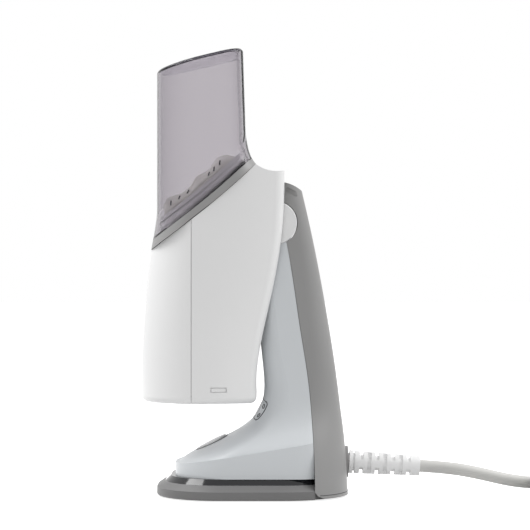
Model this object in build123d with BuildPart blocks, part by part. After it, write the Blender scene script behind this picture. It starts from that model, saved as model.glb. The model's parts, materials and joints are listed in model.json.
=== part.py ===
"""Table-standing garment steamer with a folding steam head and a lift-off water tank.

Millimetres. +Z is up, the toe of the foot points to -X and the lead leaves at +X.
The origin is on the floor, under the middle of the object's length.
"""
import os
from math import atan2, ceil, cos, hypot, pi, radians, sin, tan

from build123d import *

os.makedirs("parts", exist_ok=True)

# Walls and clearances
shell_wall = 2.4
part_gap = 0.25
slide_gap = 0.35
bore_gap = 0.05
reach = 90.0

# Base
base_front = -52.2
base_rear = 60.6
base_half = 47.0
base_round = 38.0
base_under = 0.8
base_side_top = 5.8
base_top = 9.2
base_shoulder = 5.0
base_floor = 2.2
base_rim = 14.0
band_top = 12.4
band_slope = 3.4
foot_pad_radius = 6.0
foot_pad_depth = 1.2
foot_pad_y = 27.0
ballast_thickness = 3.0
ballast_length = 56.0
ballast_width = 48.0
ballast_round = 6.0
post_radius = 4.2
post_y = 24.0
screw_radius = 1.5
screw_head_radius = 3.0
screw_head_height = 1.6

# Foot and column: ridge points of the front, seen from the side, and how far the sides flare
toe_x = -41.4
skirt_half = 39.0
skirt_rear = 59.0
crease_toe = 19.6
crease_rear = 36.5
column_half = 18.0
column_rear = 38.3
rear_lean = 0.2188
rear_bow = 0.000442
neck_top = 192.0
rear_join = 0.2
rear_form_front = -14.0
side_slot_x = 28.0
side_slot_z = 180.2
side_slot_length = 8.2
side_slot_height = 2.8
side_slot_tilt = 28.0
side_slot_depth = 1.4
tongue_x = 40.8
tongue_half = 47.8
tongue_rear = 61.3
tongue_bottom = 1.2
tongue_notch = 3.0
tongue_notch_rear = 6.0

# Head hinge
pivot_x = 18.5
pivot_z = 162.0
cap_radius = 12.4
cap_proud = 1.2
cap_thickness = 4.0
column_top_radius = 24.4
pocket_radius = 26.4
cheek_inner = 20.6
cheek_outer = 25.2
shaft_radius = 2.5
ear_radius = 9.0
ear_thickness = 2.0
bracket_bottom = 138.0
washer_radius = 7.0
washer_thickness = 1.0

# Head
head_bottom = 55.5
head_edge_round = 4.0
head_half = 36.0
head_bulge = 2.4
head_seam_x = -31.0
head_front = -61.8
head_rear = 7.5
head_corner = 7.0
saddle_low = (15.5, 192.4)
saddle_rear = (26.0, 193.6)

# Tank seat: a shallow arc seen from the side
seat_front = (-55.9, 145.8)
seat_rear = (6.7, 196.1)
seat_sag = 1.9
collar_height = 4.4
collar_width = 6.0

# Tank
tank_wall = 2.0
tank_front = -52.5
tank_rear = -2.0
tank_half = 30.6
tank_top_front = (-51.6, 253.8)
tank_top_rear = (-4.2, 267.3)
tank_top_crown = 0.8
tank_edge_round = 2.5
tank_front_round = 27.0
tank_rear_round = 12.0
tank_rear_lean = ((150.0, 5.8), (280.0, -0.9))
tank_overrun = 20.0
tank_floor_height = 9.5
tank_floor_thickness = 2.0

# Power button
button_x = -19.8
button_z = 30.9
button_tilt = 26.6
button_radius = 9.4
button_proud = 0.7

# Mains lead
cord_radius = 3.7

# Shapes shared by the stand's pieces
edge_break = 0.8
skirt_round = 34.0
skirt_rear_round = 30.0
crease_step = 0.3
parting_points = [(20.5, 192.0), (22.6, 162.0), (27.0, 137.5), (32.7, 99.4), (37.2, 70.4), (40.0, 36.0),
                  (tongue_x, 9.0)]
post_front = -6.0
post_rear = 27.0
pad_front = -27.0
pad_rear = 36.0
screw_length = 20.0
ballast_x = 2.0
ring_gap = 0.45
shelf_front = 0.0
shelf_length = 27.0
shelf_width = 22.0
shelf_depth = 8.0
sleeve_wall = 2.0
cheek_skin = 0.9
pocket_bottom = 82.0

# Indicator panel on the neck
panel_x = 8.6
panel_z = 51.2
panel_tilt = 62.0
panel_width = 16.0
panel_length = 11.0
panel_depth = 1.2
panel_proud = 0.4
panel_round = 1.5

# Lead exit
cord_exit_z = 19.2
boss_x = 61.7
boss_length = 5.0
boss_radius = 9.4
relief_neck_radius = 5.0

# Snap recess low on the head's side
snap_x = -15.1
snap_z = 64.0
snap_length = 9.4
snap_height = 3.0
snap_depth = 0.8

# Steam plate, chamber and pump in the head
plate_recess = 0.6
plate_gap = 0.9
plate_thickness = 3.0
outlet_rings = ((8.0, 8), (16.0, 14), (23.0, 20))
outlet_radius = 1.3
chamber_radius = 26.0
chamber_height = 22.0
chamber_wall = 4.0
seal_width = 4.0
seal_height = 1.2
heater_radius = 15.0
heater_rod = 3.2
thermostat_radius = 6.5
thermostat_height = 3.0
fuse_radius = 2.0
fuse_length = 12.0
nozzle_height = 4.0
hose_radius = 3.0
hose_lead = 6.0
pump_x = -19.0
pump_radius = 11.0
pump_height = 38.0
pump_spout = 7.0
shelf_z = 100.0
shelf_margin = 2.0
nozzle_wall = 2.0
thermostat_offset = 16.0
pump_neck_step = 3.0
pump_neck_height = 4.0
pump_spout_wall = 1.2

# Valve in the tank floor
valve_x = 3.0
collar_web = 2.2
socket_radius = 8.0
socket_depth = 4.0
spout_clear = 1.5
spout_radius = 4.5
spout_wall = 1.1
spout_low = -1.2
cap_thread_radius = 9.0
cap_top = 14.5
flange_radius = 12.5
flange_height = 1.8
guide_low = 7.0
guide_height = 1.6
guide_port = 0.7
stem_radius = 1.2
poppet_radius = 5.0
poppet_height = 1.4
spring_wire = 0.6
clip_height = 1.0
clip_low = -0.2

# Strainer on the tank floor
strainer_x = 6.5
strainer_length = 50.0
strainer_width = 36.0
strainer_plate = 1.6
strainer_lift = 1.6
hump_offset = 16.0
hump_length = 17.0
hump_width = 30.0
hump_height = 6.5
dome_radius = 12.5
dome_height = 9.2
slot_pitch = 5.0
slot_width = 1.6
slot_depth = 2.6
slot_count = 3
strainer_round = 8.0
hump_round = 5.0
hump_taper = 18.0
dome_taper = 12.0
dome_clear = 1.0

# Button stack
flange_drop = 3.6
button_lip = 1.3
stem_size = 2.0
stem_length = 2.4
button_travel = 1.5
switch_gap = 0.25

# Control board and switch
spacer_height = 3.0
spacer_radius = 2.5
board_x = 0.0
board_length = 52.0
board_width = 34.0
board_thickness = 1.6
board_round = 2.0
spacer_inset = 4.0
block_offset = 18.0
block_y = -8.0
block_length = 14.0
block_width = 12.0
can_y = 9.0
can_radius = 5.0
block_height = 9.0
switch_round = 1.0
holder_length = 14.0
switch_size = 12.0
switch_height = 3.0
button_spring_radius = 3.6
button_spring_turns = 3
valve_spring_radius = 2.4
valve_spring_turns = 3

# Strain relief and clamp
relief_droop = 3.5
relief_length = 43.0
relief_root_radius = 7.0
relief_tip_radius = 6.0
relief_core_radius = 4.3
relief_groove_radius = 5.3
relief_groove = 2.8
relief_slots = 7
relief_first_slot = 6.8
relief_pitch = 4.7
relief_slot_width = 2.3
relief_bridge = 4.6
clamp_length = 8.0
clamp_width = 16.0
clamp_height = 13.0
clamp_round = 2.0

# Lead, coil, tie and plug
cord_lead = 18.0
coil_approach = 14.0
coil_x = 225.0
coil_y = -15.0
coil_z = 4.9
coil_entry = 130.0
coil_inner = 27.7
coil_pitch = 8.3
coil_layer = 8.1
coil_turns_in = 3.25
coil_turns_out = 2.861
tail_length = 44.0
tie_gap = 0.35
tie_thickness = 0.8
tie_width = 9.0
tie_angle = 200.0
plug_relief = 14.0
plug_length = 34.0
plug_width = 26.0
pin_length = 17.0
plug_relief_wall = 1.5
plug_relief_step = 1.5
plug_taper = 2.0
plug_round = 6.0
blade_spread = 6.35
blade_rise = 3.0
blade_thickness = 1.5
blade_width = 6.4
earth_drop = 7.0
earth_radius = 2.4


def hull_section(front, rear, half, front_round, rear_round):
    """Rounded four-sided section between a front and a rear point of the side view."""
    run = Vector(rear[0] - front[0], 0, rear[1] - front[1])
    middle = ((front[0] + rear[0]) / 2, 0, (front[1] + rear[1]) / 2)
    plane = Plane(origin=middle, x_dir=run, z_dir=(-run.Z, 0, run.X))
    with BuildSketch(plane) as section:
        Rectangle(run.length, 2 * half)
        fillet(section.vertices().group_by(Axis.X)[0], front_round)
        fillet(section.vertices().group_by(Axis.X)[-1], rear_round)
    return section.sketch


def base_outline(height, inset):
    """Plan outline of the base at a height, moved in all round."""
    return hull_section((base_front + inset, height), (base_rear - inset, height),
                        base_half - inset, base_round - inset, base_round - inset)


def column_back(height):
    """Rear edge of the column at a height."""
    drop = pivot_z - height
    return column_rear + rear_lean * drop - rear_bow * drop ** 2


# Front point, height at the rear, flare of the sides, corner rounds and wall factor of a sloping front
column_rows = [
    ((-26.4, 27.6), 41.0, 0.79, 29.0, 27.0, 2.0),
    ((-10.8, 34.8), 45.5, 0.60, 24.0, 24.0, 1.9),
    ((1.2, 42.0), 50.0, 0.45, 20.0, 21.0, 1.6),
    ((7.8, 49.2), 55.5, 0.33, 17.0, 18.0, 1.2),
    ((11.2, 59.0), 63.0, 0.24, 15.0, 16.0, 1.0),
    ((11.4, 71.0), 73.0, 0.176, 13.0, 14.0, 1.0),
    ((9.2, 93.6), 93.6, 0.095, 11.0, 12.0, 1.0),
    ((4.8, 130.0), 130.0, 0.033, 9.0, 10.0, 1.0),
    ((0.6, pivot_z), pivot_z, 0.0, 7.0, 8.0, 1.0),
    ((-3.0, neck_top), neck_top, 0.0, 7.0, 8.0, 1.0),
]


def column_sections(rows, inset):
    """Sections of the column, moved in by a wall."""
    sections = []
    for (front_x, front_z), rear_z, flare, front_round, rear_round, factor in rows:
        half = column_half + flare * (skirt_half - column_half)
        sections.append(hull_section((front_x + inset * factor, front_z),
                                     (column_back(rear_z) - inset, rear_z), half - inset,
                                     front_round - inset, rear_round - inset))
    return sections


def crease_section(inset, sink):
    """Outline of the foot where its skirt meets the sloping top, sunk along that slope's normal."""
    slope = atan2(crease_rear - crease_toe, skirt_rear - toe_x)
    shift = (sink * sin(slope), -sink * cos(slope))
    return hull_section((toe_x + inset + shift[0], crease_toe + shift[1]),
                        (skirt_rear - inset + shift[0], crease_rear + shift[1]),
                        skirt_half - inset, skirt_round - inset, skirt_rear_round - inset)


def front_form(inset):
    """Foot and column as one body: a straight skirt, then a bell that rises into the neck."""
    bottom = band_top - inset
    low = hull_section((toe_x + inset, bottom), (skirt_rear - inset, bottom), skirt_half - inset,
                       skirt_round - inset, skirt_rear_round - inset)
    with BuildPart() as form:
        loft(sections=[low, crease_section(inset, inset)], ruled=True)
        loft(sections=[crease_section(inset + crease_step, inset + 1)] + column_sections(column_rows, inset))
    return form.part


# Heights at front and rear, rear edge, half width and corner rounds where the tongue narrows to the column
tongue_rows = [
    (18.0, 18.0, tongue_rear - 0.9, tongue_half - 5.0, 26.0, 33.0),
    (31.0, crease_rear, skirt_rear, skirt_half - 3.5, 22.0, 28.0),
]


def rear_form(inset):
    """Rear of the column, which widens into a tongue over the end of the base."""
    bottom = tongue_bottom - inset
    rows = [(bottom, bottom, tongue_rear, tongue_half, 30.0, 38.0)] + tongue_rows
    low = [hull_section((rear_form_front + inset, front_z), (rear - inset, rear_z), half - inset,
                        front_round - inset, rear_round - inset)
           for front_z, rear_z, rear, half, front_round, rear_round in rows]
    with BuildPart() as form:
        loft(sections=low + column_sections(column_rows[2:5:2], inset)
             + column_sections(column_rows[5:6], inset + rear_join))
        loft(sections=column_sections(column_rows[4:5], inset + rear_join)
             + column_sections(column_rows[5:], inset))
    return form.part


def parting_region(rear_side):
    """Side-view region in front of, or behind, the line where the two column shells meet."""
    far = reach if rear_side else -reach
    shift = part_gap if rear_side else 0
    line = [(x + shift, z) for x, z in parting_points]
    with BuildPart() as region:
        with BuildSketch(Plane.XZ):
            with BuildLine():
                Spline(*line)
                Polyline(line[-1], (line[-1][0], -10), (far, -10), (far, line[0][1]), line[0])
            make_face()
        extrude(amount=reach, both=True)
    return region.part


def side_extrusion(half, *points):
    """A side-view polygon extruded to both sides."""
    with BuildPart() as block:
        with BuildSketch(Plane.XZ):
            with BuildLine():
                Polyline(*points, close=True)
            make_face()
        extrude(amount=half, both=True)
    return block.part


def cross_rod(radius, half, x=pivot_x, z=pivot_z):
    """A rod along Y, reaching as far to both sides."""
    with BuildPart() as rod:
        with BuildSketch(Plane.XZ):
            with Locations((x, z)):
                Circle(radius)
        extrude(amount=half, both=True)
    return rod.part


def upright(radius, low, high, x=0.0, y=0.0):
    """A vertical rod between two heights."""
    with BuildPart() as rod:
        with BuildSketch(Plane.XY.offset(low)):
            with Locations((x, y)):
                Circle(radius)
        extrude(amount=high - low)
    return rod.part


def column_top_limit(radius):
    """Everything that the rounded top of the column leaves: a disc round the pivot, and all below it."""
    with BuildPart() as limit:
        with BuildSketch(Plane.XZ):
            with Locations((pivot_x, pivot_z)):
                Circle(radius)
            with Locations((pivot_x, pivot_z - reach)):
                Rectangle(2 * reach, 2 * reach)
        extrude(amount=reach, both=True)
    return limit.part


def head_section(height, front, rear, half, rear_half):
    """Plan of the head: a round front, sides that close in, and a flat back with round corners."""
    middle_x = (head_seam_x + rear) / 2
    middle_half = (half + rear_half) / 2 + head_bulge
    with BuildSketch(Plane.XY.offset(height)) as section:
        with BuildLine():
            ThreePointArc((head_seam_x, -half), (front, 0), (head_seam_x, half))
            ThreePointArc((head_seam_x, half), (middle_x, middle_half), (rear, rear_half))
            Line((rear, rear_half), (rear, -rear_half))
            ThreePointArc((rear, -rear_half), (middle_x, -middle_half), (head_seam_x, -half))
        make_face()
        fillet(section.vertices().group_by(Axis.X)[-1], head_corner)
    return section.sketch


# Height, and how far front, rear and half width stand from the values at the foot of the head
head_rows = [
    (head_bottom, 0.0, 0.0, 0.0),
    (80.0, 0.0, 0.3, 0.2),
    (125.0, 3.4, 9.5, 0.0),
    (pivot_z, 7.8, 15.0, -1.0),
    (200.0, 13.0, 16.1, -2.0),
]


def head_loft(inset, low):
    """Outer form of the head, moved in by a wall, from a height upwards."""
    sections = []
    for height, front, rear, half in head_rows:
        height = low if height == head_bottom else height
        sections.append(head_section(height, head_front + front + inset, head_rear + rear - inset,
                                     head_half + half - inset, cheek_outer - inset))
    with BuildPart() as form:
        loft(sections=sections)
    return form.part


def seat_region(height):
    """Everything above the arc of the tank seat, raised by a height."""
    with BuildPart() as region:
        with BuildSketch(Plane.XZ):
            with Locations(seat_centre):
                Circle(seat_radius - height)
        extrude(amount=reach, both=True)
    return region.part


def pocket(wall, half):
    """Space for the column in the back of the head, wider by a wall."""
    radius = pocket_radius + wall
    top = pivot_z + radius
    low = pocket_bottom - wall
    with BuildPart() as space:
        with BuildSketch(Plane.XZ):
            with Locations((pivot_x, pivot_z)):
                Circle(radius)
            with BuildLine():
                Polyline((pivot_x - radius, pivot_z), (head_rear + 1 - wall, low), (reach, low),
                         (reach, top), (pivot_x, top), close=True)
            make_face()
        extrude(amount=half + wall, both=True)
    return space.part


# Flare at the foot of the tank: front and rear points of sloping sections, widening and corner rounds
flare_rows = [
    ((-56.3, 144.2), (8.4, 195.0), 4.6, 33.0, 16.0),
    ((-55.1, 151.8), (4.6, 199.6), 3.4, 32.5, 16.0),
    ((-53.3, 163.0), (1.9, 207.0), 1.4, 31.5, 16.0),
    ((tank_front + 0.05, 176.0), (tank_rear + 2.2, 216.5), -0.1, 30.4, 16.0),
]


def tank_form(inset, top_drop):
    """Outer form of the tank down to below its seat, moved in by a wall, under a sloping top."""
    flare = [hull_section((front[0] + inset, front[1]), (rear[0] - inset, rear[1]), tank_half + wider - inset,
                          front_round - inset, rear_round - inset)
             for front, rear, wider, front_round, rear_round in flare_rows]
    walls = [hull_section((tank_front + inset, z), (tank_rear + lean - inset, z), tank_half - inset,
                          tank_front_round - inset, tank_rear_round - inset)
             for z, lean in tank_rear_lean]
    rise = (tank_top_rear[1] - tank_top_front[1]) / (tank_top_rear[0] - tank_top_front[0])
    left = (tank_top_front[0] - tank_overrun, tank_top_front[1] - tank_overrun * rise - top_drop)
    right = (tank_top_rear[0] + tank_overrun, tank_top_rear[1] + tank_overrun * rise - top_drop)
    crown = ((left[0] + right[0]) / 2, (left[1] + right[1]) / 2 + tank_top_crown)
    with BuildPart() as form:
        loft(sections=walls, ruled=True)
        loft(sections=flare)
        with BuildSketch(Plane.XZ):
            with BuildLine():
                ThreePointArc(left, crown, right)
                Polyline(right, (right[0], seat_front[1] - reach), (left[0], seat_front[1] - reach), left)
            make_face()
        extrude(amount=reach, both=True, mode=Mode.INTERSECT)
    return form.part


# Seat frame: local x runs up along the seat, local z is square to it
seat_run = (seat_rear[0] - seat_front[0], seat_rear[1] - seat_front[1])
seat_length = hypot(*seat_run)
seat_along = (seat_run[0] / seat_length, seat_run[1] / seat_length)
seat_normal = (-seat_along[1], seat_along[0])
seat_radius = seat_length ** 2 / (8 * seat_sag) + seat_sag / 2
seat_middle = ((seat_front[0] + seat_rear[0]) / 2 - seat_sag * seat_normal[0],
               (seat_front[1] + seat_rear[1]) / 2 - seat_sag * seat_normal[1])
seat_centre = (seat_middle[0] + seat_radius * seat_normal[0], seat_middle[1] + seat_radius * seat_normal[1])
seat_plane = Plane(origin=(seat_middle[0], 0, seat_middle[1]), x_dir=(seat_along[0], 0, seat_along[1]),
                   z_dir=(seat_normal[0], 0, seat_normal[1]))
valve_plane = Plane(origin=seat_plane.from_local_coords((valve_x, 0, 0)), x_dir=seat_plane.x_dir,
                    z_dir=seat_plane.z_dir)


def valve_disc(radius, low, high):
    """A rod on the valve's axis between two heights above the seat."""
    with BuildPart() as rod:
        with BuildSketch(valve_plane.offset(low)):
            Circle(radius)
        extrude(amount=high - low)
    return rod.part


def save(piece, name):
    """Name a finished piece and write it."""
    piece.part.label = name
    export_step(piece.part, f"parts/{name}.step")


# Shared bodies of the stand
front_region = parting_region(False)
rear_region = parting_region(True)
column_limit = column_top_limit(column_top_radius)
core_limit = column_top_limit(column_top_radius - shell_wall)
front_solid = front_form(0)

with BuildPart() as tongue_zone:
    add(rear_region)
    add(rear_form(shell_wall + part_gap), mode=Mode.SUBTRACT)

# Base plate: a tray with a sloping shoulder, pillars for the screws and recesses for the feet
pillar_places = [(x, y) for x in (post_front, post_rear) for y in (-post_y, post_y)]
pad_places = [(x, y) for x in (pad_front, pad_rear) for y in (-foot_pad_y, foot_pad_y)]
tray_floor = base_under + base_floor
with BuildPart() as base_plate:
    loft(sections=[base_outline(base_under, edge_break), base_outline(base_under + edge_break, 0),
                   base_outline(base_side_top, 0), base_outline(base_top, base_shoulder)], ruled=True)
    extrude(base_outline(tray_floor, base_rim), amount=reach, mode=Mode.SUBTRACT)
    with BuildSketch(Plane.XY.offset(tray_floor)):
        with Locations(*pillar_places):
            Circle(post_radius)
    extrude(amount=band_top - tray_floor)
    add(tongue_zone.part, mode=Mode.SUBTRACT)
    with Locations(*[(x, y, base_under) for x, y in pillar_places]):
        Hole(screw_radius + bore_gap, depth=2 * reach)
    with BuildSketch(Plane.XY.offset(base_under)):
        with Locations(*pillar_places):
            Circle(screw_head_radius + slide_gap)
        with Locations(*pad_places):
            Circle(foot_pad_radius + part_gap)
    extrude(amount=foot_pad_depth, mode=Mode.SUBTRACT)
save(base_plate, "base_plate")

# Glossy band between base and foot
with BuildPart() as base_band:
    loft(sections=[base_outline(base_top, base_shoulder), base_outline(band_top, base_shoulder + band_slope)],
         ruled=True)
    extrude(base_outline(base_top, base_rim), amount=reach, mode=Mode.SUBTRACT)
    add(tongue_zone.part, mode=Mode.SUBTRACT)
save(base_band, "base_band")

# Feet, screws and ballast
with BuildPart() as rubber_feet:
    with BuildSketch():
        with Locations(*pad_places):
            Circle(foot_pad_radius)
    extrude(amount=base_under + foot_pad_depth)
save(rubber_feet, "rubber_feet")

with BuildPart() as base_screws:
    with BuildSketch(Plane.XY.offset(base_under + foot_pad_depth - screw_head_height)):
        with Locations(*pillar_places):
            Circle(screw_head_radius)
    extrude(amount=screw_head_height)
    with BuildSketch(Plane.XY.offset(base_under + foot_pad_depth)):
        with Locations(*pillar_places):
            Circle(screw_radius)
    extrude(amount=screw_length)
save(base_screws, "base_screws")

with BuildPart() as ballast_plate:
    with BuildSketch(Plane.XY.offset(tray_floor)):
        with Locations((ballast_x, 0)):
            RectangleRounded(ballast_length, ballast_width, ballast_round)
        with Locations(*pillar_places):
            Circle(post_radius + part_gap, mode=Mode.SUBTRACT)
    extrude(amount=ballast_thickness)
save(ballast_plate, "ballast_plate")

# Power button frame: square to the slope of the foot
button_slope = (cos(radians(button_tilt)), 0, sin(radians(button_tilt)))
button_plane = Plane(origin=(button_x, 0, button_z), x_dir=button_slope,
                     z_dir=(-button_slope[2], 0, button_slope[0]))
panel_plane = Plane(origin=(panel_x, 0, panel_z), x_dir=(0, 1, 0),
                    z_dir=(-sin(radians(panel_tilt)), 0, cos(radians(panel_tilt))))

# Front shell: foot and column front
with BuildPart() as front_posts:
    with BuildSketch(Plane.XY.offset(band_top)):
        with Locations(*pillar_places):
            Circle(post_radius)
    extrude(amount=reach)
    with BuildSketch(Plane.XY.offset(bracket_bottom - shelf_depth)):
        with Locations((shelf_front, 0)):
            Rectangle(shelf_length, shelf_width, align=(Align.MIN, Align.CENTER))
    extrude(amount=shelf_depth)
    add(front_form(shell_wall / 2), mode=Mode.INTERSECT)
with BuildPart() as column_core:
    add(front_form(shell_wall))
    add(core_limit, mode=Mode.INTERSECT)
with BuildPart() as front_shell:
    add(front_solid)
    add(column_limit, mode=Mode.INTERSECT)
    add(column_core.part, mode=Mode.SUBTRACT)
    add(front_posts.part)
    add(front_region, mode=Mode.INTERSECT)
    add(cross_rod(cap_radius + ring_gap, reach), mode=Mode.SUBTRACT)
    with BuildSketch(button_plane.offset(-2 * shell_wall)):
        Circle(button_radius + slide_gap)
    extrude(amount=4 * shell_wall, mode=Mode.SUBTRACT)
    with BuildSketch(panel_plane.offset(-panel_depth)):
        Rectangle(panel_width + 2 * part_gap, panel_length + 2 * part_gap)
    extrude(amount=4 * shell_wall, mode=Mode.SUBTRACT)
    with Locations(*[(x, y, band_top) for x, y in pillar_places]):
        Hole(screw_radius + bore_gap, depth=screw_length)
save(front_shell, "front_shell")

# Blind slot high on each side of the rear shell
with BuildPart() as side_slots:
    with BuildSketch(Plane.XZ):
        with Locations((side_slot_x, side_slot_z)):
            SlotOverall(side_slot_length, side_slot_height, rotation=-side_slot_tilt)
    extrude(amount=reach, both=True)
    with Locations((side_slot_x, 0, side_slot_z)):
        Box(2 * side_slot_length, 2 * (column_half - side_slot_depth), 2 * side_slot_length,
            mode=Mode.SUBTRACT)

# Rear shell with its tongue over the base and a boss for the lead
with BuildPart() as rear_core:
    add(rear_form(shell_wall))
    add(core_limit, mode=Mode.INTERSECT)
with BuildPart() as rear_shell:
    add(rear_form(0))
    add(column_limit, mode=Mode.INTERSECT)
    with BuildSketch(Plane.YZ.offset(boss_x - boss_length)):
        with Locations((0, cord_exit_z)):
            Circle(boss_radius)
    extrude(amount=boss_length)
    add(rear_core.part, mode=Mode.SUBTRACT)
    add(rear_region, mode=Mode.INTERSECT)
    add(side_extrusion(reach, (tongue_x - tongue_notch, -reach), (tongue_x + tongue_notch_rear, -reach),
                       (tongue_x + tongue_notch_rear, tongue_bottom), (tongue_x + 2, tongue_notch),
                       (tongue_x - tongue_notch, base_top)), mode=Mode.SUBTRACT)
    add(cross_rod(cap_radius + ring_gap, reach), mode=Mode.SUBTRACT)
    add(side_slots.part, mode=Mode.SUBTRACT)
    with BuildSketch(Plane.YZ.offset(boss_x - 3 * boss_length)):
        with Locations((0, cord_exit_z)):
            Circle(relief_neck_radius + part_gap)
    extrude(amount=6 * boss_length, mode=Mode.SUBTRACT)
save(rear_shell, "rear_shell")

# Hinge: caps, bracket, washers, sleeve and shaft
ear_outer = column_half + cap_proud - cap_thickness
with BuildPart() as pivot_caps:
    add(cross_rod(cap_radius, column_half + cap_proud))
    add(cross_rod(2 * cap_radius, ear_outer), mode=Mode.SUBTRACT)
    fillet(pivot_caps.edges().filter_by(GeomType.CIRCLE).group_by(Axis.Y)[-1], cap_proud / 2)
    fillet(pivot_caps.edges().filter_by(GeomType.CIRCLE).group_by(Axis.Y)[0], cap_proud / 2)
    add(cross_rod(shaft_radius + bore_gap, reach), mode=Mode.SUBTRACT)
save(pivot_caps, "pivot_caps")

with BuildPart() as hinge_bracket:
    with BuildSketch(Plane.XZ):
        with Locations((pivot_x, pivot_z)):
            Circle(ear_radius)
        with Locations((pivot_x, bracket_bottom)):
            Rectangle(2 * ear_radius, pivot_z - bracket_bottom, align=(Align.CENTER, Align.MIN))
    extrude(amount=ear_outer, both=True)
    with BuildSketch(Plane.XZ):
        with Locations((pivot_x, bracket_bottom + ear_thickness)):
            Rectangle(4 * ear_radius, 2 * reach, align=(Align.CENTER, Align.MIN))
    extrude(amount=ear_outer - ear_thickness, both=True, mode=Mode.SUBTRACT)
    add(cross_rod(shaft_radius + bore_gap, reach), mode=Mode.SUBTRACT)
save(hinge_bracket, "hinge_bracket")

washer_outer = ear_outer - ear_thickness - part_gap
with BuildPart() as friction_washers:
    add(cross_rod(washer_radius, washer_outer))
    add(cross_rod(2 * washer_radius, washer_outer - washer_thickness), mode=Mode.SUBTRACT)
    add(cross_rod(shaft_radius + bore_gap, reach), mode=Mode.SUBTRACT)
save(friction_washers, "friction_washers")

with BuildPart() as shaft_sleeve:
    add(cross_rod(shaft_radius + sleeve_wall, washer_outer - washer_thickness - part_gap))
    add(cross_rod(shaft_radius + bore_gap, reach), mode=Mode.SUBTRACT)
save(shaft_sleeve, "shaft_sleeve")

shaft_half = cheek_outer - cheek_skin
with BuildPart() as pivot_shaft:
    add(cross_rod(shaft_radius, shaft_half))
save(pivot_shaft, "pivot_shaft")

# Head: side-view limit under the tank seat and the saddle behind it
with BuildPart() as head_limit:
    with BuildSketch(Plane.XZ):
        with BuildLine():
            seat_arc = ThreePointArc(seat_front, seat_middle, seat_rear)
            saddle_arc = ThreePointArc(seat_rear, saddle_low, saddle_rear)
            fall = seat_arc % 0
            edge = (-reach, seat_front[1] - (seat_front[0] + reach) * fall.Y / fall.X)
            Polyline(saddle_rear, (reach, saddle_rear[1]), (reach, 0), (-reach, 0), edge, seat_front)
        make_face()
    extrude(amount=reach, both=True)

cavity_rear = seat_rear[0] - shell_wall
with BuildPart() as head_cavity:
    add(head_loft(shell_wall, head_bottom - shell_wall))
    add(side_extrusion(reach, (-reach, 0), (cavity_rear, 0), (cavity_rear, 3 * reach), (-reach, 3 * reach)),
        mode=Mode.INTERSECT)
    add(pocket(shell_wall, cheek_inner), mode=Mode.SUBTRACT)

with BuildPart() as snap_recess:
    add(head_loft(0, head_bottom))
    add(head_loft(snap_depth, head_bottom), mode=Mode.SUBTRACT)
    add(side_extrusion(reach, *[(snap_x + i * snap_length / 2, snap_z + j * snap_height / 2)
                                for i, j in ((-1, -1), (1, -1), (1, 1), (-1, 1))]), mode=Mode.INTERSECT)

with BuildPart() as head_body:
    add(head_loft(0, head_bottom))
    fillet(head_body.faces().sort_by(Axis.Z)[0].edges(), head_edge_round)
    add(head_limit.part, mode=Mode.INTERSECT)
    add(head_cavity.part, mode=Mode.SUBTRACT)
    add(pocket(0, cheek_inner), mode=Mode.SUBTRACT)
    add(snap_recess.part, mode=Mode.SUBTRACT)
    add(cross_rod(shaft_radius + bore_gap, shaft_half + part_gap), mode=Mode.SUBTRACT)

with BuildPart() as pump_shelf:
    with BuildSketch(Plane.XY.offset(shelf_z - shell_wall)):
        with Locations((pump_x - pump_radius - shelf_margin, 0)):
            Rectangle(reach, 2 * (pump_radius + shelf_margin), align=(Align.MIN, Align.CENTER))
        with Locations((pump_x, 0)):
            Circle(hose_radius + slide_gap, mode=Mode.SUBTRACT)
    extrude(amount=shell_wall)
    add(head_cavity.part, mode=Mode.INTERSECT)

with BuildPart() as head_front_shell:
    add(head_body.part)
    split(bisect_by=Plane.YZ.offset(head_seam_x - part_gap / 2), keep=Keep.BOTTOM)
save(head_front_shell, "head_front_shell")

with BuildPart() as head_rear_shell:
    add(head_body.part)
    split(bisect_by=Plane.YZ.offset(head_seam_x + part_gap / 2), keep=Keep.TOP)
    add(pump_shelf.part)
save(head_rear_shell, "head_rear_shell")

# Steam plate with its ring of outlets, seal and chamber
plate_inset = shell_wall + plate_gap
plate_x = (head_front + head_rear) / 2
with BuildPart() as steam_plate:
    extrude(head_section(head_bottom + plate_recess, head_front + plate_inset, head_rear - plate_inset,
                         head_half - plate_inset, cheek_outer - plate_inset), amount=plate_thickness)
    with BuildSketch(Plane.XY.offset(head_bottom + plate_recess)):
        for ring_radius, holes in outlet_rings:
            with Locations((plate_x, 0)):
                with PolarLocations(ring_radius, holes):
                    Circle(outlet_radius)
    extrude(amount=plate_thickness, mode=Mode.SUBTRACT)
save(steam_plate, "steam_plate")

plate_top = head_bottom + plate_recess + plate_thickness
with BuildPart() as plate_seal:
    with BuildSketch(Plane.XY.offset(plate_top)):
        with Locations((plate_x, 0)):
            Circle(chamber_radius)
            Circle(chamber_radius - seal_width, mode=Mode.SUBTRACT)
    extrude(amount=seal_height)
save(plate_seal, "plate_seal")

chamber_bottom = plate_top + seal_height
chamber_top = chamber_bottom + chamber_height
with BuildPart() as steam_chamber:
    add(upright(chamber_radius, chamber_bottom, chamber_top, plate_x))
    add(upright(chamber_radius - seal_width, plate_top, chamber_top - chamber_wall, plate_x),
        mode=Mode.SUBTRACT)
    add(upright(hose_radius + nozzle_wall, chamber_top, chamber_top + nozzle_height, pump_x))
save(steam_chamber, "steam_chamber")

with BuildPart() as heater:
    with BuildSketch(Plane.XY.offset(chamber_bottom + seal_height)):
        with Locations((plate_x, 0)):
            Circle(heater_radius + heater_rod)
            Circle(heater_radius - heater_rod, mode=Mode.SUBTRACT)
    extrude(amount=chamber_height - chamber_wall - seal_height)
save(heater, "heater")

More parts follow.
